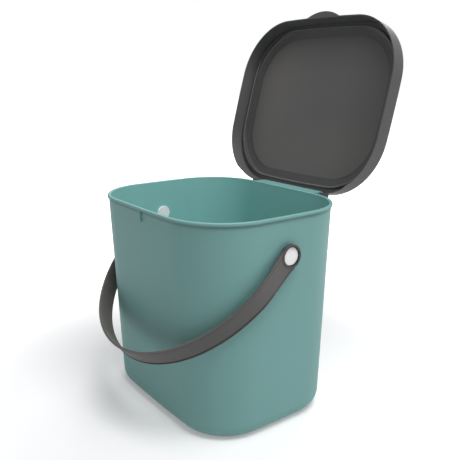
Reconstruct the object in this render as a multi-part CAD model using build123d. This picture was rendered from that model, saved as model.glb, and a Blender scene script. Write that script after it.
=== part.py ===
from build123d import *
from math import hypot, sqrt
import os

os.makedirs("parts", exist_ok=True)

# A kitchen compost bin of about six litres: a drafted tub with rounded corners, a lid on two
# clip hinges behind the rim, and a strap handle that swings on a button at each side.
# Sizes are millimetres. The origin is the centre of the tub's underside, +Z is up, the front
# with the lid's lifting tab faces -Y, and the handle's pivots lie on a line along X.

# Tub
tub_height = 205.0
base_half_x = 100.8
base_half_y = 77.5
base_corner = 49.5
rim_half_x = 107.4
rim_half_y = 87.9
rim_corner = 58.5
front_bow = 1500.0
side_bow = 1200.0
wall = 1.8
floor = 2.2
foot_radius = 14.5
lip_overhang = 1.2
lip_height = 2.7
lip_round = 1.1
lip_inner_bevel = 0.5
catch_x = 3.5
catch_width = 1.8
catch_height = 9.5
catch_end = 2.4

# Hinge on the tub
shelf_half_x = 46.5
shelf_reach = 13.0
shelf_thickness = 2.6
shelf_drop = 0.5
shelf_corner = 3.0
web_thickness = 3.0
web_drop = 16.0
gusset_thickness = 2.0
gusset_spacing = 31.0
gusset_setback = 3.0
hinge_behind = 6.5
hinge_below = 6.3
pin_radius = 2.2
pin_beyond_ear = 1.0
knuckle_radius = 4.2

# Lid, closed
lid_clearance = 1.4
skirt_wall = 1.1
plate_skirt_wall = 1.6
skirt_draft = 0.3
skirt_overlap = 13.5
seat_gap = 0.5
plate = 2.3
lid_corner_extra = 2.5
lid_edge_round = 2.4
ridge_inset = 6.9
ridge_thickness = 1.6
ridge_depth = 2.5
ridge_round = 0.6
pan_slope_run = 8.0
pan_rise = 3.0
pan_round = 3.0
tab_protrusion = 6.7
tab_radius = 47.7
tab_lift = 1.5
tab_thickness = 2.2
tab_round = 0.8
ear_gap = 4.0
ear_thickness = 5.0
ear_radius = 4.6
ear_slot = 3.7
hinge_clearance = 0.05
heel_width = 5.6
heel_high = 1.0
stop_gap = 0.35
skirt_relief = 2.6
relief_length = 21.5
relief_ramp = 8.0
lid_opening = 105.3

# Handle
pivot_below_rim = 35.6
strap_clearance = 1.2
strap_thickness = 2.6
strap_width = 18.8
strap_leg = 31.0
strap_reach = 147.0
strap_round = 0.6
face_recess = 0.5
face_rim = 1.6
face_start = 23.0
leg_bend_end = 19.0
eye_inset = 2.8
eye_radius = 10.8
ring_height = 0.4
ring_round = 0.4
boss_radius = 9.0
boss_gap = 0.3
hanging_angle = 41.5

# Pivot buttons
head_radius = 8.2
head_gap = 0.3
head_depth = 1.6
head_below_ring = 1.3
head_round = 0.4
shaft_radius = 5.0
shaft_clearance = 0.05
spigot_radius = 3.0
spigot_length = 1.2
spigot_clearance = 0.05
cap_radius = 7.5
cap_thickness = 1.8
cap_round = 0.5
cap_gap = 0.1

# Places that follow from these sizes
lid_half_x = rim_half_x + lid_clearance + skirt_wall
lid_half_y = rim_half_y + lid_clearance + skirt_wall
lid_corner = rim_corner + lid_corner_extra
skirt_bottom = tub_height - skirt_overlap
plate_bottom = tub_height + seat_gap
plate_top = plate_bottom + plate
hinge_y = rim_half_y + hinge_behind
hinge_z = tub_height - hinge_below
hinge_axis = Axis((0, hinge_y, hinge_z), (1, 0, 0))
ear_inner_x = shelf_half_x + ear_gap
ear_outer_x = ear_inner_x + ear_thickness
pin_end_x = ear_outer_x + pin_beyond_ear
shelf_top = tub_height - shelf_drop
shelf_bottom = shelf_top - shelf_thickness
pivot_height = tub_height - pivot_below_rim
strap_inner_x = max(lid_half_x, base_half_x) + strap_clearance
strap_outer_x = strap_inner_x + strap_thickness
eye_inner_x = strap_inner_x - eye_inset
eye_outer_x = strap_outer_x - eye_inset
ring_face_x = eye_outer_x + ring_height
head_face_x = ring_face_x - head_below_ring
recess_floor_x = head_face_x - head_depth


def corner_centre(half_x, half_y, corner):
    """Centre of the corner arc that is tangent to a long bowed side and to a short one."""
    long_y = half_y - front_bow
    short_x = half_x - side_bow
    long_reach = front_bow - corner
    short_reach = side_bow - corner
    span = hypot(short_x, long_y)
    along = (long_reach**2 - short_reach**2 + span**2) / (2 * span)
    across = sqrt(long_reach**2 - along**2)
    ux = short_x / span
    uy = -long_y / span
    return along * ux + across * uy, long_y + along * uy - across * ux


def outline(half_x, half_y, corner, z=0.0):
    """Face at height z: a rounded rectangle whose four sides bow out slightly."""
    cx, cy = corner_centre(half_x, half_y, corner)
    centre = Vector(cx, cy)
    long_way = Vector(cx, cy + front_bow - half_y).normalized()
    short_way = Vector(cx + side_bow - half_x, cy).normalized()
    middle = centre + (long_way + short_way).normalized() * corner
    long_end = centre + long_way * corner
    short_end = centre + short_way * corner
    arcs = []
    for sx, sy in ((1, 1), (-1, 1), (-1, -1), (1, -1)):
        three = [(p.X * sx, p.Y * sy) for p in (short_end, middle, long_end)]
        arcs.append(ThreePointArc(*three))
    for sign in (1, -1):
        y_end = long_end.Y * sign
        x_end = short_end.X * sign
        arcs.append(ThreePointArc((-long_end.X, y_end), (0, half_y * sign), (long_end.X, y_end)))
        arcs.append(ThreePointArc((x_end, -short_end.Y), (half_x * sign, 0), (x_end, short_end.Y)))
    return Pos(0, 0, z) * Face(Wire([arc.edge() for arc in arcs]))


def tub_sizes(z):
    """Half width, half depth and corner radius of the wall's outside at height z."""
    share = z / tub_height
    half_x = base_half_x + (rim_half_x - lip_overhang - base_half_x) * share
    half_y = base_half_y + (rim_half_y - lip_overhang - base_half_y) * share
    corner = base_corner + (rim_corner - lip_overhang - base_corner) * share
    return half_x, half_y, corner


def tub_outline(z, inset=0.0):
    """Outline of the tub's wall at height z, moved in by the inset."""
    return outline(*(size - inset for size in tub_sizes(z)), z)


def wall_back_y(x, z):
    """Outside of the tub's back wall at the distance x from the middle."""
    half_x, half_y, corner = tub_sizes(z)
    cx, cy = corner_centre(half_x, half_y, corner)
    if x < cx:
        return half_y - front_bow + sqrt(front_bow**2 - x**2)
    return cy + sqrt(corner**2 - (x - cx) ** 2)


def lid_outline(z, inset=0.0):
    """Outline of the lid at height z, moved in by the inset."""
    return outline(lid_half_x - inset, lid_half_y - inset, lid_corner - inset, z)


def edges_at(solid, z):
    """Edges that lie wholly at height z."""
    level = []
    for edge in solid.edges():
        box = edge.bounding_box()
        if abs(box.min.Z - z) < 1e-3 and abs(box.max.Z - z) < 1e-3:
            level.append(edge)
    return level


def block(x_range, y_range, z_range):
    """Box from its three ranges."""
    middle = [sum(pair) / 2 for pair in (x_range, y_range, z_range)]
    size = [pair[1] - pair[0] for pair in (x_range, y_range, z_range)]
    return Pos(*middle) * Box(*size)


def rod(radius, x_from, x_to, y, z):
    """Round rod along X between two places."""
    return Pos((x_from + x_to) / 2, y, z) * Rot(0, 90, 0) * Cylinder(radius, abs(x_to - x_from))


def side_plate(points, x_from, x_to):
    """Plate with its outline in the YZ plane, between two places along X."""
    face = Plane.YZ * make_face(Polyline(*points, close=True))
    return Pos(x_from, 0, 0) * extrude(face, x_to - x_from)


def cavity():
    """The room inside the tub: drafted walls, upright behind the lip, open at the top."""
    behind_lip = outline(*(size - wall for size in tub_sizes(tub_height)), tub_height - lip_height)
    room = loft([tub_outline(floor, wall), behind_lip], ruled=True)
    room = fillet(edges_at(room, floor), foot_radius - wall)
    return room + extrude(behind_lip, 2 * lip_height)


def catch_rib():
    """Small rib under the lip in front, a little thicker at its lower end."""
    top = tub_height - lip_height
    low = top - catch_height
    front = -rim_half_y + 0.1
    back = -tub_sizes(low)[1] + wall / 2
    near = catch_x - catch_width / 2
    far = catch_x + catch_width / 2
    rib = block((near, far), (front, back), (low, top + lip_height / 2))
    return rib + block((near, far + catch_end - catch_width), (front, back), (low, low + catch_end))


def tub_shell():
    """Drafted wall with a rounded foot, the floor and the bead round the rim."""
    body = loft([tub_outline(0), tub_outline(tub_height)], ruled=True)
    body = fillet(edges_at(body, 0), foot_radius)
    lip_bottom = tub_height - lip_height
    lip = extrude(outline(rim_half_x, rim_half_y, rim_corner, lip_bottom), lip_height)
    body += fillet(edges_at(lip, tub_height), lip_round)
    body += catch_rib()
    body -= cavity()
    inner_edges = body.faces().sort_by(Axis.Z)[-1].inner_wires()[0].edges()
    return chamfer(inner_edges, lip_inner_bevel)


def hinge_shelf():
    """Ledge behind the rim with gussets, end webs and a hinge pin at each end."""
    inside = rim_half_y - lip_overhang - wall
    far = rim_half_y + shelf_reach
    low = tub_height - web_drop
    shelf = block((-shelf_half_x, shelf_half_x), (inside, far), (shelf_bottom, shelf_top))
    corners = shelf.edges().filter_by(Axis.Z).group_by(Axis.Y)[-1]
    shelf = fillet(corners, shelf_corner)
    back = hinge_y + knuckle_radius
    web = [(inside, shelf_bottom), (back, shelf_bottom), (back, hinge_z),
           (hinge_y, hinge_z - knuckle_radius), (inside, low)]
    gusset = [(inside, shelf_bottom), (far - gusset_setback, shelf_bottom), (inside, low)]
    for side in (1, -1):
        web_x = side * (shelf_half_x - web_thickness)
        shelf += side_plate(web, *sorted((web_x, side * shelf_half_x)))
        shelf += rod(knuckle_radius, web_x, side * shelf_half_x, hinge_y, hinge_z)
        shelf += rod(pin_radius, web_x, side * pin_end_x, hinge_y, hinge_z)
        middle = side * gusset_spacing / 2
        shelf += side_plate(gusset, middle - gusset_thickness / 2, middle + gusset_thickness / 2)
    return shelf


def make_tub():
    """The tub with its hinge and the two holes for the pivot shafts."""
    tub = tub_shell() + (hinge_shelf() - cavity())
    hole = shaft_radius + shaft_clearance
    return tub - rod(hole, -strap_outer_x, strap_outer_x, 0, pivot_height)


def lid_shell():
    """Lid's skirt and plate, with the raised panel and the room under them."""
    top_size = skirt_draft
    inner_top = skirt_draft + plate_skirt_wall
    pan_edge = ridge_inset + ridge_thickness
    panel = pan_edge + pan_slope_run
    shell = loft([lid_outline(skirt_bottom), lid_outline(plate_top, top_size)], ruled=True)
    shell = fillet(edges_at(shell, plate_top), lid_edge_round)
    raised = loft([lid_outline(plate_top, pan_edge), lid_outline(plate_top + pan_rise, panel)],
                  ruled=True)
    shell += fillet(edges_at(raised, plate_top + pan_rise), pan_round)
    shell -= loft([lid_outline(skirt_bottom, skirt_wall), lid_outline(plate_bottom, inner_top)],
                  ruled=True)
    hollow = loft([lid_outline(plate_bottom, pan_edge), lid_outline(plate_bottom + pan_rise, panel)],
                  ruled=True)
    return shell - fillet(edges_at(hollow, plate_bottom + pan_rise), pan_round)


def sealing_ridge():
    """Ridge that hangs inside the tub's rim when the lid is closed."""
    crest = plate_bottom - ridge_depth
    height = ridge_depth + plate / 2
    ring = extrude(lid_outline(crest, ridge_inset), height)
    ring -= extrude(lid_outline(crest, ridge_inset + ridge_thickness), height)
    return fillet(edges_at(ring, crest), ridge_round)


def lifting_tab():
    """Front tab: the part of a round disc that stands out past the skirt."""
    low = skirt_bottom + tab_lift
    centre_y = -(lid_half_y + tab_protrusion - tab_radius)
    disc = Pos(0, centre_y, low + tab_thickness / 2) * Cylinder(tab_radius, tab_thickness)
    disc = fillet(disc.edges().filter_by(GeomType.CIRCLE), tab_round)
    return disc - extrude(lid_outline(low - 1, skirt_wall), tab_thickness + 2)


def lid_ear(side):
    """Clip ear of the closed lid, not yet bored, with the heel that stops the open lid."""
    x_range = sorted((side * ear_inner_x, side * ear_outer_x))
    root = lid_half_y - skirt_wall - lid_clearance
    lug = block(x_range, (root, hinge_y), (hinge_z - ear_radius, hinge_z + ear_radius))
    lug += rod(ear_radius, x_range[0], x_range[1], hinge_y, hinge_z)
    reach = hinge_y - wall_back_y(ear_inner_x, hinge_z + heel_high) - stop_gap
    heel_low = hinge_z + heel_high - heel_width
    heel = block(x_range, (hinge_y - reach, hinge_y), (heel_low, hinge_z + heel_high))
    return lug + heel.rotate(hinge_axis, lid_opening)


def ear_bore(side):
    """Hole for the hinge pin and the mouth behind it, through which the ear snaps on."""
    x_range = sorted((side * (ear_inner_x - 1), side * (ear_outer_x + 1)))
    bore = rod(pin_radius + hinge_clearance, x_range[0], x_range[1], hinge_y, hinge_z)
    mouth_end = hinge_y + 2 * ear_radius
    return bore + block(x_range, (hinge_y, mouth_end), (hinge_z - ear_slot / 2, hinge_z + ear_slot / 2))


def skirt_cut(side):
    """Room cut under the rear skirt beside an ear, so that it swings clear of the rim."""
    start = side * (ear_inner_x - 1)
    full = side * (ear_outer_x + relief_length)
    end = full + side * relief_ramp
    low = skirt_bottom - 1
    high = skirt_bottom + skirt_relief
    points = [(start, low), (start, high), (full, high), (end, skirt_bottom), (end, low)]
    face = Plane.XZ * make_face(Polyline(*points, close=True))
    return extrude(face, -(lid_half_y + 1))


def make_lid():
    """The closed lid: shell, ridge, tab and ears, notched behind for the hinge shelf."""
    lid = lid_shell() + sealing_ridge() + lifting_tab()
    low = skirt_bottom - 1
    top = plate_top + pan_rise + 1
    across = (-ear_inner_x, ear_inner_x)
    skirt_from = rim_half_y - lip_overhang - wall
    lid -= block(across, (rim_half_y, lid_half_y + 1), (low, top))
    lid -= block(across, (skirt_from, lid_half_y + 1), (low, plate_bottom))
    inside = loft([lid_outline(skirt_bottom, skirt_wall),
                   lid_outline(plate_bottom, skirt_draft + plate_skirt_wall)], ruled=True)
    for side in (1, -1):
        lid -= skirt_cut(side)
        lid += lid_ear(side) - inside
        lid -= ear_bore(side)
    return lid


def strap_outline(half_span, reach):
    """Upright U of the strap's face, from the end of the legs' bend up: straight, then half an ellipse."""
    bend = EllipticalCenterArc((0, strap_leg), half_span, reach - strap_leg, arc_size=180)
    legs = Polyline((-half_span, strap_leg), (-half_span, leg_bend_end),
                    (half_span, leg_bend_end), (half_span, strap_leg))
    return Plane.XZ * make_face([bend.edge(), *legs.edges()])


def strap_band():
    """Flat strap bent to the U, its edges slightly rounded, its outer face sunk between two rims."""
    outer_reach = strap_reach + strap_thickness / 2
    outer = strap_outline(strap_outer_x, outer_reach)
    inner = strap_outline(strap_inner_x, outer_reach - strap_thickness)
    band = extrude(outer - inner, strap_width / 2, both=True)
    band = fillet([e for e in band.edges() if e.length > 2 * strap_width], strap_round)
    beyond = strap_outline(strap_outer_x + face_recess, outer_reach + face_recess)
    sunk = strap_outline(strap_outer_x - face_recess, outer_reach - face_recess)
    recess = extrude(beyond - sunk, strap_width / 2 - face_rim, both=True)
    return band - (recess - rod(face_start, -strap_outer_x - face_recess, strap_outer_x + face_recess, 0, 0))


def leg_end(side):
    """Lower end of a leg: bent in towards the tub and widened to the eye."""
    profile = [(strap_inner_x, strap_leg), (strap_outer_x, strap_leg), (strap_outer_x, leg_bend_end),
               (eye_outer_x, eye_radius), (eye_outer_x, 0), (eye_inner_x, 0),
               (eye_inner_x, eye_radius), (strap_inner_x, leg_bend_end)]
    face = Plane.XZ * make_face(Polyline(*[(side * x, z) for x, z in profile], close=True))
    half = strap_width / 2
    flare = [(-eye_radius, 0), (eye_radius, 0), (half, strap_leg), (-half, strap_leg)]
    return extrude(face, eye_radius, both=True) & side_plate(flare, *sorted((0, side * strap_outer_x)))


def strap_eye(side):
    """Eye with its raised ring and the boss that stands off from the tub's wall."""
    widest = max(tub_sizes(pivot_height + shift)[0] for shift in (-boss_radius, boss_radius))
    boss_face = widest + boss_gap
    ring = rod(eye_radius, side * eye_inner_x, side * ring_face_x, 0, 0)
    outer_edge = ring.edges().filter_by(GeomType.CIRCLE).sort_by(Axis.X)[-1 if side > 0 else 0]
    eye = fillet(outer_edge, ring_round)
    eye += rod(boss_radius, side * boss_face, side * eye_inner_x, 0, 0)
    return eye


def eye_bore(side):
    """Recess for the button's head and bore for its shaft."""
    recess = rod(head_radius + head_gap, side * recess_floor_x, side * (ring_face_x + 1), 0, 0)
    return recess + rod(shaft_radius + shaft_clearance, 0, side * ring_face_x, 0, 0)


def make_handle():
    """The handle, turned from upright to where it hangs in front."""
    handle = strap_band()
    for side in (1, -1):
        handle += leg_end(side)
        handle += strap_eye(side)
        handle -= eye_bore(side)
    return Pos(0, 0, pivot_height) * handle.rotate(Axis.X, 90 + hanging_angle)


def cap_face():
    """Distance of the inner caps' outer face from the middle, just clear of the drafted wall."""
    narrowest = min(tub_sizes(pivot_height + shift)[0] for shift in (-cap_radius, cap_radius))
    return narrowest - wall - cap_gap


def make_button(side):
    """Round head in the handle's eye, shaft through eye and wall, spigot into the cap."""
    back = recess_floor_x + head_gap
    head = rod(head_radius, side * back, side * head_face_x, 0, pivot_height)
    rim = head.edges().filter_by(GeomType.CIRCLE).sort_by(Axis.X)[-1 if side > 0 else 0]
    head = fillet(rim, head_round)
    head += rod(shaft_radius, side * cap_face(), side * back, 0, pivot_height)
    spigot_end = side * (cap_face() - spigot_length)
    return head + rod(spigot_radius, spigot_end, side * cap_face(), 0, pivot_height)


def make_cap(side):
    """Round cap inside the tub, with a blind socket for the button's spigot."""
    cap = rod(cap_radius, side * (cap_face() - cap_thickness), side * cap_face(), 0, pivot_height)
    inner_edge = cap.edges().filter_by(GeomType.CIRCLE).sort_by(Axis.X)[0 if side > 0 else -1]
    cap = fillet(inner_edge, cap_round)
    depth = side * (cap_face() - spigot_length - spigot_clearance)
    return cap - rod(spigot_radius + spigot_clearance, depth, side * cap_face(), 0, pivot_height)


def write(name, shape):
    """Write one piece to its own file."""
    export_step(Part(shape.wrapped) if not isinstance(shape, Part) else shape, f"parts/{name}.step")


write("tub", make_tub())
write("lid", make_lid().rotate(hinge_axis, -lid_opening))
write("handle", make_handle())
for name, side in (("right", 1), ("left", -1)):
    write(f"pivot_button_{name}", make_button(side))
    write(f"pivot_cap_{name}", make_cap(side))
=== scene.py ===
# %% [markdown]
# # A kitchen compost bin
#
# The bin is moulded plastic throughout: a sea-green tub, a charcoal lid, a charcoal strap handle
# and white pivot buttons. Its shapes come from the CAD model, at their real size and place. So this
# lesson is mostly about finish and light: what makes moulded polypropylene look moulded, and how a
# white studio is lit so that pale and dark plastic both keep their form. One piece is also
# reshaped, the strap.

# %% Load the model
import math
import bpy
from mathutils import Matrix, Vector


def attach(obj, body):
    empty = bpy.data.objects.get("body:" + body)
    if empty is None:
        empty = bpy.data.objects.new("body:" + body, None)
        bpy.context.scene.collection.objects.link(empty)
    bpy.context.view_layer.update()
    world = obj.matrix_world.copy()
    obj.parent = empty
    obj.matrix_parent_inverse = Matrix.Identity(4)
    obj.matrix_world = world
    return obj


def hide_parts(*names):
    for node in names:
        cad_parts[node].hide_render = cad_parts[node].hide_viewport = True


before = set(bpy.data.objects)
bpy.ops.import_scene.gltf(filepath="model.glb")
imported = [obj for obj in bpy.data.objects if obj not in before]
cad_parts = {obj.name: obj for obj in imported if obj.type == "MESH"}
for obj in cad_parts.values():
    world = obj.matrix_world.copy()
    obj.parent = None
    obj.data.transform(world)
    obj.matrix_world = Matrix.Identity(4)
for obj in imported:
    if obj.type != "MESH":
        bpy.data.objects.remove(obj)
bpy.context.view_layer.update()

scene = bpy.context.scene
print("pieces:", sorted(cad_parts))

# %% [markdown]
# ## The camera
#
# A product picture is taken with a longish lens, so that the far side of a small thing isn't
# dwarfed. A camera can be placed by its own position, or by the point it looks at with a direction
# and a distance. The second is used here, because it is easier to correct by hand: the turn says
# how much of the side shows, and the tilt how much of the inside.

# %% Camera
IMAGE_WIDTH = 460
FOCAL_PIXELS = 609.88
SENSOR_WIDTH_MM = 36.0
LOOK_AT = Vector((0.0224, 0.0, 0.1748))
EYE_DISTANCE = 0.5918
EYE_TURN = math.radians(53.03)
EYE_TILT = math.radians(14.57)
NEAREST_SEEN = 0.01

eye_way = Vector((math.sin(EYE_TURN) * math.cos(EYE_TILT),
                  -math.cos(EYE_TURN) * math.cos(EYE_TILT),
                  math.sin(EYE_TILT)))
camera = bpy.data.objects.new("camera", bpy.data.cameras.new("camera"))
scene.collection.objects.link(camera)
camera.location = LOOK_AT + eye_way * EYE_DISTANCE
camera.rotation_euler = (-eye_way).to_track_quat("-Z", "Y").to_euler()
camera.data.sensor_width = SENSOR_WIDTH_MM
camera.data.lens = SENSOR_WIDTH_MM * FOCAL_PIXELS / IMAGE_WIDTH
camera.data.clip_start = NEAREST_SEEN
scene.camera = camera
print("lens:", round(camera.data.lens, 2), "mm, eye at", [round(v, 3) for v in camera.location])

# %% [markdown]
# ## Writing materials as sums
#
# A material is a graph of nodes. It could be drawn by hand or built link by link, but a long list
# of links is hard to read. So this small class wraps one output socket and gives it the signs of
# arithmetic, and a mask can then be written as a sum. It is for numbers alone: colours and vectors
# go through the Mix and Vector Math nodes, because a Math node would turn a colour grey.

# %% A socket with signs


class Signal:
    """One output socket of a node, with + - * and a few functions."""

    def __init__(self, tree, socket):
        self.tree = tree
        self.socket = socket

    def out(self, key):
        """Another output of the same node."""
        return Signal(self.tree, self.socket.node.outputs[key])

    def math(self, operation, other=0.0, clamp=False):
        return node(self.tree, "ShaderNodeMath", {"operation": operation, "use_clamp": clamp},
                    {0: self, 1: other})

    def __add__(self, other):
        return self.math("ADD", other)

    def __sub__(self, other):
        return self.math("SUBTRACT", other)

    def __mul__(self, other):
        return self.math("MULTIPLY", other)

    def __truediv__(self, other):
        return self.math("DIVIDE", other)

    def __rsub__(self, other):
        return node(self.tree, "ShaderNodeMath", {"operation": "SUBTRACT"}, {0: other, 1: self})

    __radd__ = __add__
    __rmul__ = __mul__


def node(tree, kind, settings=None, values=None, output=0):
    """A node of the kind: its settings are made first, then its sockets get values or signals."""
    made = tree.nodes.new(kind)
    for name, value in (settings or {}).items():
        setattr(made, name, value)
    for key, value in (values or {}).items():
        if isinstance(value, Signal):
            tree.links.new(value.socket, made.inputs[key])
        else:
            made.inputs[key].default_value = value
    return Signal(tree, made.outputs[output])


print("signals add, subtract, multiply and divide")

# %% [markdown]
# Almost every mask on this bin is one of two things: a soft step, where a place passes a value, or
# a soft band, where it lies between two. Both are made from the Map Range node with soft ends,
# which says in metres where the change starts and ends. A colour ramp could do the same, but its
# stops lie between 0 and 1, so that each length would have to be converted first.

# %% Steps, bands, noise and colours


def fade(signal, start, end, low=0.0, high=1.0):
    """From low to high as the signal goes from start to end, and level outside them."""
    return node(signal.tree, "ShaderNodeMapRange", {"interpolation_type": "SMOOTHSTEP"},
                {"Value": signal, "From Min": start, "From Max": end,
                 "To Min": low, "To Max": high})


def band(signal, start, full, leave, end):
    """One between full and leave, and nought before start and after end."""
    return fade(signal, start, full) * fade(signal, end, leave)


def grain(tree, place, scale, detail=2.0):
    """Noise of about 1 / scale metres, from 0 to 1."""
    return node(tree, "ShaderNodeTexNoise", {"noise_dimensions": "3D"},
                {"Vector": place, "Scale": scale, "Detail": detail})


def split(signal):
    """The three parts of a vector."""
    parts = node(signal.tree, "ShaderNodeSeparateXYZ", {}, {0: signal})
    return parts, parts.out(1), parts.out(2)


def tint(tree, amount, colour_a, colour_b):
    """Colour between a and b by the amount."""
    return node(tree, "ShaderNodeMix", {"data_type": "RGBA"}, {0: amount, 6: colour_a, 7: colour_b},
                output=2)


def layered(tree, colour, layers):
    """The colour with each layer laid over it in turn. A layer is an amount and a colour."""
    for amount, over in layers:
        colour = tint(tree, amount, colour, over)
    return colour


def turned(tree, vector, angle, centre=(0.0, 0.0, 0.0)):
    """A place or a normal turned about a line along X through the centre."""
    return node(tree, "ShaderNodeVectorRotate", {"rotation_type": "X_AXIS"},
                {"Vector": vector, "Center": centre, "Angle": angle})


print("mask and colour helpers ready")

# %% [markdown]
# ## Moulded polypropylene
#
# The tub, lid and handle come out of steel moulds that are eroded to a fine, even texture, so the
# surface is satin, not glossy. A flat colour with one roughness would look like paint. Three scales
# make it plastic: the mould's texture of a fraction of a millimetre, which tilts the surface a
# little; clouds of some centimetres; and slow flow marks, where colour and gloss drift. The
# functions below give any part this finish, and each part brings its own colour and roughness.

# %% The plastic's finish
FLOW_MARKS = 9.0
CLOUDS = 42.0
MOULD_TEXTURE = 1900.0
CLOUD_SHARE = 0.3
CLOUD_RISE = 0.35
TEXTURE_RISE = 0.0004
ROUGHNESS_DRIFT = 0.10
ROUGHNESS_SPECK = 0.06
SURFACE_SHINE = 0.42


def blank_material(name):
    """A material, its tree and shader, and the object's own place and normal."""
    material = bpy.data.materials.new(name)
    material.use_nodes = True
    tree = material.node_tree
    shader = tree.nodes["Principled BSDF"]
    coordinates = node(tree, "ShaderNodeTexCoord")
    return material, tree, shader, coordinates.out("Object"), coordinates.out("Normal")


def mottle(tree, place, shade, colour):
    """Drift of the flow marks from 0 to 1, and the colour that it gives."""
    flow = grain(tree, place, FLOW_MARKS, detail=3.0)
    drift = flow * (1.0 - CLOUD_SHARE) + grain(tree, place, CLOUDS) * CLOUD_SHARE
    return drift, tint(tree, drift, shade, colour)


def satin(tree, shader, place, drift, roughness, texture_depth):
    """Puts the mould texture's bumps on the shader, and gives a roughness that swings with it."""
    speck = grain(tree, place, MOULD_TEXTURE, detail=1.0)
    relief = speck + grain(tree, place, CLOUDS) * CLOUD_RISE
    bump = node(tree, "ShaderNodeBump", {},
                {"Strength": texture_depth, "Distance": TEXTURE_RISE, "Height": relief})
    tree.links.new(bump.socket, shader.inputs["Normal"])
    shader.inputs["Specular IOR Level"].default_value = SURFACE_SHINE
    swing = drift * ROUGHNESS_DRIFT + speck * ROUGHNESS_SPECK
    return swing + (roughness - (ROUGHNESS_DRIFT + ROUGHNESS_SPECK) / 2)


def coat(tree, shader, colour, rough):
    """Puts the colour and the roughness on the shader."""
    tree.links.new(colour.socket, shader.inputs["Base Color"])
    tree.links.new(rough.socket, shader.inputs["Roughness"])


def dress(name, material):
    """Gives a CAD node its material."""
    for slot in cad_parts[name].material_slots:
        slot.material = material
    print(name, "wears", material.name)


print("plastic ready")

# %% [markdown]
# ### The tub
#
# The tub is a greyed sea green. Its inside is moulded on a polished core, so it is a little
# smoother than the outside; it is also coloured lighter, as painted light for the light that falls
# into the tub. A thin dark line under the rim's bead is painted shade. The two sides could be split
# into two materials, but the CAD solid is one mesh that may not be changed. So the material itself
# asks where it is: a point is inside where its normal looks back at the tub's middle line.

# %% Where the tub is what
INSIDE_STARTS, INSIDE_FULL = -0.012, -0.055
OUTSIDE_STARTS, OUTSIDE_FULL = 0.02, 0.05
LIP_SHADE_HEIGHTS = (0.1985, 0.2012, 0.2024, 0.2030)

tub_plastic, tree, shader, place, normal = blank_material("sea_green_plastic")
across = node(tree, "ShaderNodeVectorMath", {"operation": "MULTIPLY"},
              {0: place, 1: (1.0, 1.0, 0.0)})
outward = node(tree, "ShaderNodeVectorMath", {"operation": "DOT_PRODUCT"}, {0: across, 1: normal},
               output=1)
inside = fade(outward, INSIDE_STARTS, INSIDE_FULL)
outside = fade(outward, OUTSIDE_STARTS, OUTSIDE_FULL)
# painted shade: a thin dark line just under the rim's bead, on the outside
lip_shade = band(split(place)[2], *LIP_SHADE_HEIGHTS) * outside
print("dust line from", LIP_SHADE_HEIGHTS[0], "to", LIP_SHADE_HEIGHTS[-1], "m")

# %% [markdown]
# The two end colours of each green are close together, because flow marks in a good moulding are
# felt more than seen.

# %% Tub colour
OUTER_SHADE, OUTER_GREEN = (0.170, 0.360, 0.345, 1.0), (0.190, 0.392, 0.376, 1.0)
# painted light: the inside's two greens are lighter than the outside's
LIT_INNER_SHADE, LIT_INNER_GREEN = (0.240, 0.520, 0.500, 1.0), (0.262, 0.555, 0.535, 1.0)
# the colour of the painted shade under the rim's bead
LIP_SHADE_GREEN = (0.080, 0.150, 0.145, 1.0)
TUB_ROUGHNESS = 0.57
POLISH = 0.08

drift, green = mottle(tree, place, OUTER_SHADE, OUTER_GREEN)
painted_light_green = tint(tree, drift, LIT_INNER_SHADE, LIT_INNER_GREEN)
green = layered(tree, green, ((inside, painted_light_green), (lip_shade * 0.55, LIP_SHADE_GREEN)))
rough = satin(tree, shader, place, drift, TUB_ROUGHNESS, texture_depth=0.10)
coat(tree, shader, green, rough - inside * POLISH)
dress("tub", tub_plastic)

# %% [markdown]
# ### The lid
#
# The lid is charcoal. Inside it, between the sealing ridge and the raised panel, runs a slope that
# the mould left matt, and its colour is darkened all the way round as painted shade. Such a band
# could be painted by hand on a UV map, but it follows the lid's outline exactly, so it can be
# worked out. The place is turned about the hinge until the lid is shut, the slight bow of the sides
# is taken out, and what is left is a rounded rectangle, whose distance to the edge is easy to write
# down.

# %% Distance from the lid's edge
LID_OPENING = math.radians(105.3)
HINGE = (0.0, 0.0944, 0.1987)
LID_HALF = (0.1099, 0.0904)
LID_CORNER = 0.061
SIDE_BOW = (1.2, 1.5)


def inset_from_edge(x, y):
    """Distance from the shut lid's outline, inwards."""
    far_x = x.math("ABSOLUTE") + y * y / (2 * SIDE_BOW[0]) - (LID_HALF[0] - LID_CORNER)
    far_y = y.math("ABSOLUTE") + x * x / (2 * SIDE_BOW[1]) - (LID_HALF[1] - LID_CORNER)
    past_x = far_x.math("MAXIMUM", 0.0)
    past_y = far_y.math("MAXIMUM", 0.0)
    corner = (past_x * past_x + past_y * past_y).math("SQRT")
    return LID_CORNER - corner - far_x.math("MAXIMUM", far_y).math("MINIMUM", 0.0)


lid_plastic, tree, shader, place, normal = blank_material("charcoal_plastic")
shut_x, shut_y, shut_z = split(turned(tree, place, LID_OPENING, HINGE))
normal_x, normal_y, normal_z = split(turned(tree, normal, LID_OPENING))
inset = inset_from_edge(shut_x, shut_y)
print("lid material: distance from the edge ready")

# %% [markdown]
# Each band is four distances inwards from the edge: where it starts, where it is full, where it
# begins to go and where it is gone. The ridge's crest is told from the top of the lid by its
# height. The skirt is found as the tub's sides are, by the way its normal looks, and the underside
# by a normal that points down.

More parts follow.
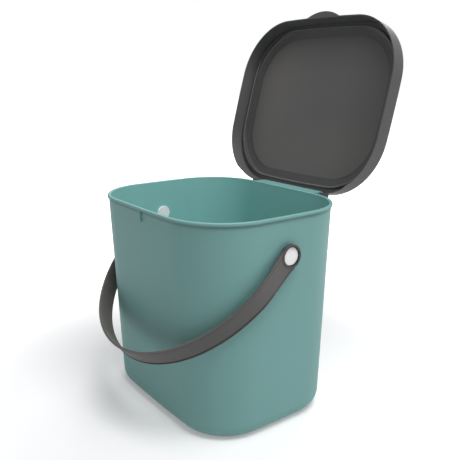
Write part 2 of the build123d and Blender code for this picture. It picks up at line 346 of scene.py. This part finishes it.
# %% Bands of the lid
GROOVE_BAND = (0.0050, 0.0062, 0.0068, 0.0071)
CREST_BAND = (0.0068, 0.0072, 0.0083, 0.0087)
SLOPE_BAND = (0.0086, 0.0094, 0.0155, 0.0170)
CREASE_BAND = (0.0148, 0.0160, 0.0166, 0.0178)
CREST_TOP, CREST_FOOT = 0.2042, 0.2036
PANEL_STARTS, PANEL_FULL = 0.0168, 0.0182
SKIRT_STARTS, SKIRT_FULL = 0.03, 0.07
SKIRT_INNER_FULL, SKIRT_INNER_ENDS = 0.0044, 0.0052

below = fade(normal_z, -0.1, -0.4)
groove = band(inset, *GROOVE_BAND) * below
crest = band(inset, *CREST_BAND) * fade(shut_z, CREST_TOP, CREST_FOOT)
slope = band(inset, *SLOPE_BAND) * below
crease = band(inset, *CREASE_BAND) * below
lid_outward = shut_x * normal_x + shut_y * normal_y
outer_skirt = fade(lid_outward, SKIRT_STARTS, SKIRT_FULL)
inner_skirt = (fade(lid_outward, -SKIRT_STARTS, -SKIRT_FULL)
               * fade(inset, SKIRT_INNER_ENDS, SKIRT_INNER_FULL))
print("slope from", SLOPE_BAND[0], "to", SLOPE_BAND[-1], "m inside the lid's edge")

# %% [markdown]
# The panel isn't even either. Towards the hinge and the left it is coloured paler, as painted
# light, and towards the front and the right, where the skirts shade it, darker, as painted shade.

# %% Painted light and shade of the panel
LIGHT_LEFT = (0.010, -0.070)
LIGHT_BACK = (0.0, 0.05)
SHADE_RIGHT = (0.030, 0.098)
SHADE_FRONT = (-0.025, -0.080)

# painted light on the panel, towards the left and the hinge
panel_light = (fade(shut_x, *LIGHT_LEFT).math("MAXIMUM", fade(shut_y, *LIGHT_BACK))
         * fade(inset, PANEL_STARTS, PANEL_FULL) * below)
# painted shade on the panel, towards the right and the front
panel_shade = (fade(shut_x, *SHADE_RIGHT) + fade(shut_y, *SHADE_FRONT)) * below
print("bloom and wear ready")

# %% [markdown]
# The layers are laid over the charcoal one by one, each an amount and a colour. They could be
# mixed all at once, but then two that overlap would add up. The panel's painted shade comes last.

# %% Lid colour
LID_SHADE, LID_CHARCOAL = (0.066, 0.065, 0.065, 1.0), (0.078, 0.077, 0.076, 1.0)
# painted shade: the slope's colour, darker than the charcoal all the way round
SLOPE_SHADE = (0.032, 0.031, 0.031, 1.0)
# painted shade in the crease at the foot of the slope, next to the panel
CREASE_SHADE = (0.020, 0.020, 0.020, 1.0)
# painted shade in the groove between the skirt and the ridge
GROOVE_SHADE = (0.018, 0.018, 0.018, 1.0)
# painted highlight along the ridge's crest
CREST_HIGHLIGHT = (0.150, 0.149, 0.148, 1.0)
# painted shade: the outer skirt is coloured a little darker than the charcoal
OUTER_SKIRT_SHADE = (0.062, 0.061, 0.061, 1.0)
# painted light: the skirt's inside is coloured lighter than the charcoal
INNER_SKIRT_LIGHT = (0.110, 0.108, 0.107, 1.0)
# colour of the painted light on the panel
PANEL_LIGHT_GREY = (0.094, 0.090, 0.087, 1.0)
# colour of the painted shade on the panel
PANEL_SHADE_GREY = (0.022, 0.021, 0.021, 1.0)
LID_ROUGHNESS = 0.46
MATT = 0.15

drift, charcoal = mottle(tree, place, LID_SHADE, LID_CHARCOAL)
charcoal = layered(tree, charcoal, (
    (slope * 0.9, SLOPE_SHADE),
    (crease * 0.6, CREASE_SHADE),
    (groove * 0.7, GROOVE_SHADE),
    (crest * 0.8, CREST_HIGHLIGHT),
    (outer_skirt, OUTER_SKIRT_SHADE),
    (inner_skirt, INNER_SKIRT_LIGHT),
    (panel_light, PANEL_LIGHT_GREY),
    (panel_shade * 0.45, PANEL_SHADE_GREY),
))
rough = satin(tree, shader, place, drift, LID_ROUGHNESS, texture_depth=0.09)
coat(tree, shader, charcoal, rough + slope * MATT)
dress("lid", lid_plastic)

# %% [markdown]
# ## The strap handle
#
# On the real bin the strap is one soft moulding. It leaves the eye in the eye's own plane and bends
# away from the tub gradually, and its outer face sinks between two low rims without a step. The CAD
# solid is the same strap with a short, stiff bend beside each eye. The strap could be modelled
# anew, but then its eyes might miss their pivots, so the bend is eased on a copy of the solid. The
# copy is turned upright about its pivots, merged, and cut across every two and a half millimetres,
# so that there are points to move.

# %% A copy of the strap, upright and cut across
PIVOT = Vector((0.0, 0.0, 0.1694))
HANGING = math.radians(131.5)
EYE_EDGE = 0.0108
EASED_END = 0.050
FADED_IN = 0.063
CUT_STEP = 0.0025
WELD = 0.00001

upright = Matrix.Rotation(-HANGING, 4, "X") @ Matrix.Translation(-PIVOT)
bpy.ops.object.select_all(action="DESELECT")
strap = bpy.data.objects.new("strap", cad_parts["handle"].data.copy())
scene.collection.objects.link(strap)
strap.data.transform(upright)
bpy.context.view_layer.objects.active = strap
strap.select_set(True)
bpy.ops.mesh.customdata_custom_splitnormals_clear()
bpy.ops.object.mode_set(mode="EDIT")
bpy.ops.mesh.select_all(action="SELECT")
bpy.ops.mesh.remove_doubles(threshold=WELD)
for step in range(int((FADED_IN - EYE_EDGE) / CUT_STEP) + 1):
    bpy.ops.mesh.select_all(action="SELECT")
    bpy.ops.mesh.bisect(plane_co=(0, 0, EYE_EDGE + step * CUT_STEP), plane_no=(0, 0, 1))
bpy.ops.object.mode_set(mode="OBJECT")
print("strap copy:", len(strap.data.vertices), "points")

# %% [markdown]
# A leg seen from the side has two lines, its inner and its outer face. The stiff lines below are
# the CAD solid's, and the soft ones are those the real strap has: the outer line drifts out over
# forty millimetres, and the inner one stays clear of the shut lid's skirt. The legs could be bent
# with a lattice or a curve, but two written lines say exactly how much room is left.

# %% The lines of a leg, stiff and soft
INNER_X, OUTER_X = 0.1111, 0.1137
EYE_INSET = 0.0028
BEND_END = 0.019
LEG_END = 0.031
INNER_REACH, OUTER_REACH = 0.1457, 0.1483
SKIRT_PASS_X, SKIRT_PASS_Z = 0.11035, 0.021


def soft_step(value):
    """From 0 to 1 with soft ends."""
    value = min(max(value, 0.0), 1.0)
    return value * value * (3.0 - 2.0 * value)


def stiff_line(x, reach, z):
    """The CAD solid's face: bent in beside the eye, straight, then part of an ellipse."""
    if z < LEG_END:
        bent = 1.0 - min(max((z - EYE_EDGE) / (BEND_END - EYE_EDGE), 0.0), 1.0)
        return x - EYE_INSET * bent
    return x * math.sqrt(1.0 - ((z - LEG_END) / (reach - LEG_END)) ** 2)


def soft_lines(z):
    """The eased inner and outer face at the height."""
    drift = EYE_INSET * (1.0 - soft_step((z - EYE_EDGE) / (EASED_END - EYE_EDGE)))
    outer = stiff_line(OUTER_X, OUTER_REACH, max(z, BEND_END)) - drift
    if z < SKIRT_PASS_Z:
        share = (z - EYE_EDGE) / (SKIRT_PASS_Z - EYE_EDGE)
        return INNER_X - EYE_INSET + share * (SKIRT_PASS_X - INNER_X + EYE_INSET), outer
    rest = soft_step((z - SKIRT_PASS_Z) / (EASED_END - SKIRT_PASS_Z))
    stiff = stiff_line(INNER_X, INNER_REACH, max(z, BEND_END))
    return stiff - (1.0 - rest) * (INNER_X - SKIRT_PASS_X), outer


for z in (EYE_EDGE, SKIRT_PASS_Z, EASED_END):
    print("at", z, "the soft leg lies between", [round(x, 5) for x in soft_lines(z)])

# %% [markdown]
# Each point of a leg has a share of the strap's thickness, nought on the inner face and one on the
# outer. The points keep their shares while the two faces take the soft lines, so the small
# roundings come along unharmed. Only the floor of the sunk face changes its share: it comes up to
# its rims towards the eye.

# %% Ease the legs
LEG_BEYOND_X = 0.09
SUNK_SHARE = 0.81
SUNK_BETWEEN = (0.7, 0.9)
RIM_INSIDE = 0.0079
SMOOTH_ANGLE = math.radians(35)

for vertex in strap.data.vertices:
    x, y, z = vertex.co
    if abs(x) < LEG_BEYOND_X or not EYE_EDGE < z < FADED_IN:
        continue
    inner, outer = stiff_line(INNER_X, INNER_REACH, z), stiff_line(OUTER_X, OUTER_REACH, z)
    share = (abs(x) - inner) / (outer - inner)
    if abs(y) < RIM_INSIDE and SUNK_BETWEEN[0] < share < SUNK_BETWEEN[1]:
        share = 1.0 - (1.0 - SUNK_SHARE) * soft_step((z - EYE_EDGE) / (FADED_IN - EYE_EDGE))
    if z < EASED_END:
        inner, outer = soft_lines(z)
    vertex.co.x = math.copysign(inner + share * (outer - inner), x)
strap.data.transform(upright.inverted())
bpy.ops.object.shade_smooth_by_angle(angle=SMOOTH_ANGLE)
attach(strap, "handle")
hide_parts("handle")
widest = max(abs(vertex.co.x) for vertex in strap.data.vertices)
print("legs eased, strap", round(2 * widest, 4), "m wide")

# %% [markdown]
# The strap is the lid's charcoal, a trace warmer. A dark line of painted shade follows each rim,
# where the sunk face meets it. The lower edge gets painted shade, and so do the ring and the recess
# round each button. The face towards the tub is coloured paler, as painted light. As on the lid,
# the place is turned first, here until the strap stands upright: its Y is then the distance across
# the strap, and its Z the height over the pivots.

# %% Where the strap is what
RIM_LINE, RIM_LINE_WIDTH = 0.0077, 0.0008
LOWER_EDGE = (-0.0080, -0.0088)
EYE_RING = (0.0114, 0.0106)
EYE_RECESS = (0.0096, 0.0089)
TUBWARD = (-0.03, -0.06)
PAST_EYE = (0.012, 0.020)

strap_plastic, tree, shader, place, normal = blank_material("strap_plastic")
beside, across, along = split(turned(tree, place, -HANGING, tuple(PIVOT)))
normal_x, _, normal_z = split(turned(tree, normal, -HANGING))
above_pivot = along - PIVOT.z
from_pivot = (across * across + above_pivot * above_pivot).math("SQRT")
# painted shade: a dark line along each rim of the sunk face
rim_line = band(across.math("ABSOLUTE"), RIM_LINE - RIM_LINE_WIDTH, RIM_LINE,
                RIM_LINE, RIM_LINE + RIM_LINE_WIDTH)
lower_edge = fade(across, *LOWER_EDGE)
eye_ring = fade(from_pivot, *EYE_RING)
eye_recess = fade(from_pivot, *EYE_RECESS)
towards_tub = (fade(beside * normal_x + (above_pivot - LEG_END) * normal_z, *TUBWARD)
               * fade(above_pivot, *PAST_EYE))
print("strap material: lines, edge, eyes and inner face found")

# %% [markdown]
# The layers go on as on the lid, the recess last, because it is the darkest place of all.

# %% Strap colour
STRAP_SHADE, STRAP_CHARCOAL = (0.077, 0.074, 0.072, 1.0), (0.090, 0.086, 0.083, 1.0)
RIM_SHADE = (0.024, 0.023, 0.023, 1.0)
EDGE_SHADE = (0.018, 0.017, 0.017, 1.0)
# painted light: the face towards the tub is coloured paler
TUBWARD_LIGHT = (0.205, 0.176, 0.163, 1.0)
EYE_SHADE = (0.036, 0.035, 0.035, 1.0)
RECESS_SHADE = (0.010, 0.010, 0.010, 1.0)
STRAP_ROUGHNESS = 0.46

drift, charcoal = mottle(tree, place, STRAP_SHADE, STRAP_CHARCOAL)
charcoal = layered(tree, charcoal, (
    (rim_line * 0.75, RIM_SHADE),
    (lower_edge * 0.85, EDGE_SHADE),
    (towards_tub, TUBWARD_LIGHT),
    (eye_ring * 0.65, EYE_SHADE),
    (eye_recess, RECESS_SHADE),
))
coat(tree, shader, charcoal,
     satin(tree, shader, place, drift, STRAP_ROUGHNESS, texture_depth=0.12))
strap.data.materials.clear()
strap.data.materials.append(strap_plastic)
print("strap wears", strap_plastic.name)

# %% [markdown]
# ### The pivots
#
# The buttons and the caps inside the tub are plain white mouldings. They are so small that their
# shading is mostly one soft highlight, so they need no masks: a smoother version of the same
# plastic does it.

# %% Pivot colour
WHITE_SHADE, WHITE = (0.95, 0.95, 0.95, 1.0), (0.97, 0.97, 0.97, 1.0)
PIVOT_ROUGHNESS = 0.36

pivot_plastic, tree, shader, place, _ = blank_material("white_plastic")
drift, white = mottle(tree, place, WHITE_SHADE, WHITE)
coat(tree, shader, white,
     satin(tree, shader, place, drift, PIVOT_ROUGHNESS, texture_depth=0.05))
for side in ("right", "left"):
    for kind in ("button", "cap"):
        dress(f"pivot_{kind}_{side}", pivot_plastic)

# %% [markdown]
# ## The white studio
#
# The floor is one white sheet that runs out of sight. A floor lit until it is white would need so
# much light that the bin burns out. So the sheet is helped: near the bin its own colour does most
# of the work, and a little glow fills it up that only the lens and reflections see. Away from the
# bin the glow takes over, and the sheet melts into the white behind it with no horizon. The light
# that falls on the bin isn't changed by that glow.

# %% Floor
FLOOR_HALF = 6.0
PAPER = (0.80, 0.80, 0.81, 1.0)
PAPER_ROUGHNESS = 0.9
PAPER_SHINE = 0.1
NEAR_FLOOR, FAR_FLOOR = 0.20, 0.50
NEAR_GLOW, FAR_GLOW = 0.25, 1.0
PURE_WHITE = (1.0, 1.0, 1.0, 1.0)


def background_rays(tree):
    """One for the lens, reflections and clear plastic, nought for light that falls on things."""
    rays = node(tree, "ShaderNodeLightPath")
    lens_or_gloss = rays.out("Is Camera Ray") + rays.out("Is Glossy Ray")
    return lens_or_gloss.math("ADD", rays.out("Is Transmission Ray"), clamp=True)


bpy.ops.object.select_all(action="DESELECT")
bpy.ops.mesh.primitive_plane_add(size=2 * FLOOR_HALF, location=(0, 0, 0))
studio_floor = bpy.context.object
studio_floor.name = "studio_floor"

paper, tree, shader, place, _ = blank_material("white_paper")
shader.inputs["Base Color"].default_value = PAPER
shader.inputs["Roughness"].default_value = PAPER_ROUGHNESS
shader.inputs["Specular IOR Level"].default_value = PAPER_SHINE
reach = node(tree, "ShaderNodeVectorMath", {"operation": "LENGTH"}, {0: place}, output=1)
strength = background_rays(tree) * fade(reach, NEAR_FLOOR, FAR_FLOOR, NEAR_GLOW, FAR_GLOW)
glow = node(tree, "ShaderNodeEmission", {}, {"Color": PURE_WHITE, "Strength": strength})
lit_paper = node(tree, "ShaderNodeAddShader", {}, {0: Signal(tree, shader.outputs[0]), 1: glow})
tree.links.new(lit_paper.socket, tree.nodes["Material Output"].inputs["Surface"])
studio_floor.data.materials.append(paper)
print("floor:", 2 * FLOOR_HALF, "m across, its glow from", NEAR_FLOOR, "to", FAR_FLOOR, "m")

# %% [markdown]
# A single lamp would leave one side of the bin black, and a bright even sky would flatten it. So
# three soft boxes share the work. The key hangs nearly overhead, a little towards the lens: it
# fills the tub's inside and throws a short shadow to the left. A weaker one far to the right keeps
# the side with the near button the brightest, and a wide one far behind lifts the rim and the back.

# %% Soft boxes
BIN_MIDDLE = Vector((0.0, 0.0, 0.15))


def soft_box(name, place, size, power):
    """Square area lamp at a place, turned to the middle of the bin."""
    lamp = bpy.data.lights.new(name, "AREA")
    lamp.shape = "RECTANGLE"
    lamp.size = size
    lamp.size_y = size
    lamp.energy = power
    holder = bpy.data.objects.new(name, lamp)
    scene.collection.objects.link(holder)
    holder.location = place
    holder.rotation_euler = (BIN_MIDDLE - Vector(place)).to_track_quat("-Z", "Y").to_euler()
    print(name, "gives", power, "W")


soft_box("key_box", (0.44, -0.03, 1.2), size=0.6, power=10.0)
soft_box("side_box", (1.2, 0.6, 1.3), size=1.0, power=4.0)
soft_box("back_box", (-1.0, 1.3, 1.3), size=1.2, power=14.0)

# %% [markdown]
# The world is the last light: a dim, even fill from everywhere. The lens and reflections see it as
# pure white, in the same way as the floor's glow, so that the background is white and the fill
# stays dim.

# %% The world
WORLD_FILL = 0.25

world = bpy.data.worlds.new("studio")
scene.world = world
world.use_nodes = True
sky = world.node_tree
strength = background_rays(sky) * (1.0 - WORLD_FILL) + WORLD_FILL
sky.nodes["Background"].inputs["Color"].default_value = PURE_WHITE
sky.links.new(strength.socket, sky.nodes["Background"].inputs["Strength"])
scene.view_settings.view_transform = "Standard"
print("world fill:", WORLD_FILL)

# %% [markdown]
# ## Finish
#

# %% Finish
print("finished")
